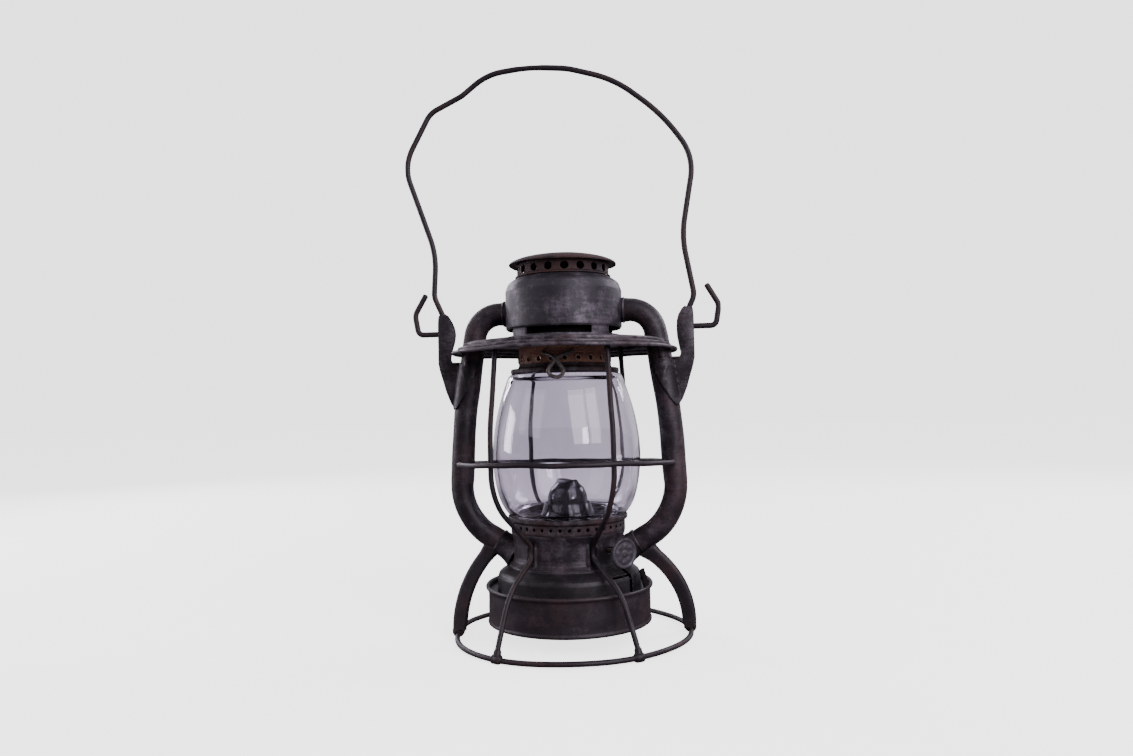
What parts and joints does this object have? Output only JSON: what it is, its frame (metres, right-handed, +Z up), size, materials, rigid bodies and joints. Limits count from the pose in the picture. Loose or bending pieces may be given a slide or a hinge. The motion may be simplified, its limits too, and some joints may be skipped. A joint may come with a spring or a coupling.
{
  "type": "railroad lantern",
  "caption": "Tubular railroad lantern with a clear globe in a wire guard, a drop-out fount with burner, an air drum under a vented cap, and a wire bail.",
  "frame": {"origin": "centre of the base ring in the ground plane, on the lantern's axis", "axes": "+Z up along the lantern's axis; -Y is the front, halfway between two guard wires; the air tubes stand at -X and +X"},
  "size_m": [0.2153, 0.1592, 0.388],
  "materials": {
    "aged_steel": "dull",
    "tube_steel": "dull",
    "rusty_steel": "rough",
    "wire_steel": "dull",
    "aged_brass": "tarnished",
    "globe_glass": "clear",
    "wick_cotton": "matte"
  },
  "bodies": {
    "frame": {"air_chamber": "aged_steel", "globe_seat": "aged_steel", "left_tube": "tube_steel", "right_tube": "tube_steel", "air_drum": "tube_steel", "vent_collar": "rusty_steel", "chimney_cap": "rusty_steel", "inner_chimney": "aged_steel", "guard_plate": "aged_steel", "left_ear": "aged_steel", "right_ear": "aged_steel", "front_left_guard_wire": "wire_steel", "front_right_guard_wire": "wire_steel", "back_left_guard_wire": "wire_steel", "back_right_guard_wire": "wire_steel", "front_guard_ring": "wire_steel", "back_guard_ring": "wire_steel", "base_ring": "wire_steel", "ring_clips": "wire_steel", "left_leg": "rusty_steel", "right_leg": "rusty_steel", "globe": "globe_glass"},
    "fount": {"fount_shell": "aged_steel", "fount_top": "aged_steel", "burner_collar": "aged_brass", "burner_body": "aged_brass", "burner_dome": "aged_brass", "wick_tube": "aged_brass"},
    "wick": {"wick": "wick_cotton"},
    "wick_shaft": {"knob_shaft": "aged_brass", "wick_wheels": "aged_brass", "wick_knob": "aged_steel"},
    "globe_holder": {"globe_holder": "rusty_steel", "lift_loop": "aged_brass"},
    "bail": {"bail": "wire_steel"}
  },
  "joints": [
    {"name": "bail_swing", "type": "hinge", "parent": "frame", "child": "bail", "pos_m": [0, 0, 0.205], "axis": [-1, 0, 0], "range_deg": [0, 150]},
    {"name": "fount_turn", "type": "hinge", "parent": "frame", "child": "fount", "pos_m": [0, 0, 0.02], "axis": [0, 0, 1], "range_deg": [0, 15]},
    {"name": "knob_turn", "type": "hinge", "parent": "fount", "child": "wick_shaft", "pos_m": [0.00334, 0.00323, 0.06], "axis": [-0.6947, 0.7193, 0], "range_deg": [-28, 124]},
    {"name": "wick_raise", "type": "slide", "parent": "fount", "child": "wick", "axis": [0, 0, 1], "range_m": [-0.0017, 0.008]},
    {"name": "holder_lift", "type": "slide", "parent": "frame", "child": "globe_holder", "axis": [0, 0, 1], "range_m": [0, 0.006]}
  ],
  "couplings": [
    {"joint": "wick_raise", "follows": "knob_turn", "m_per_rad": 0.0034}
  ]
}
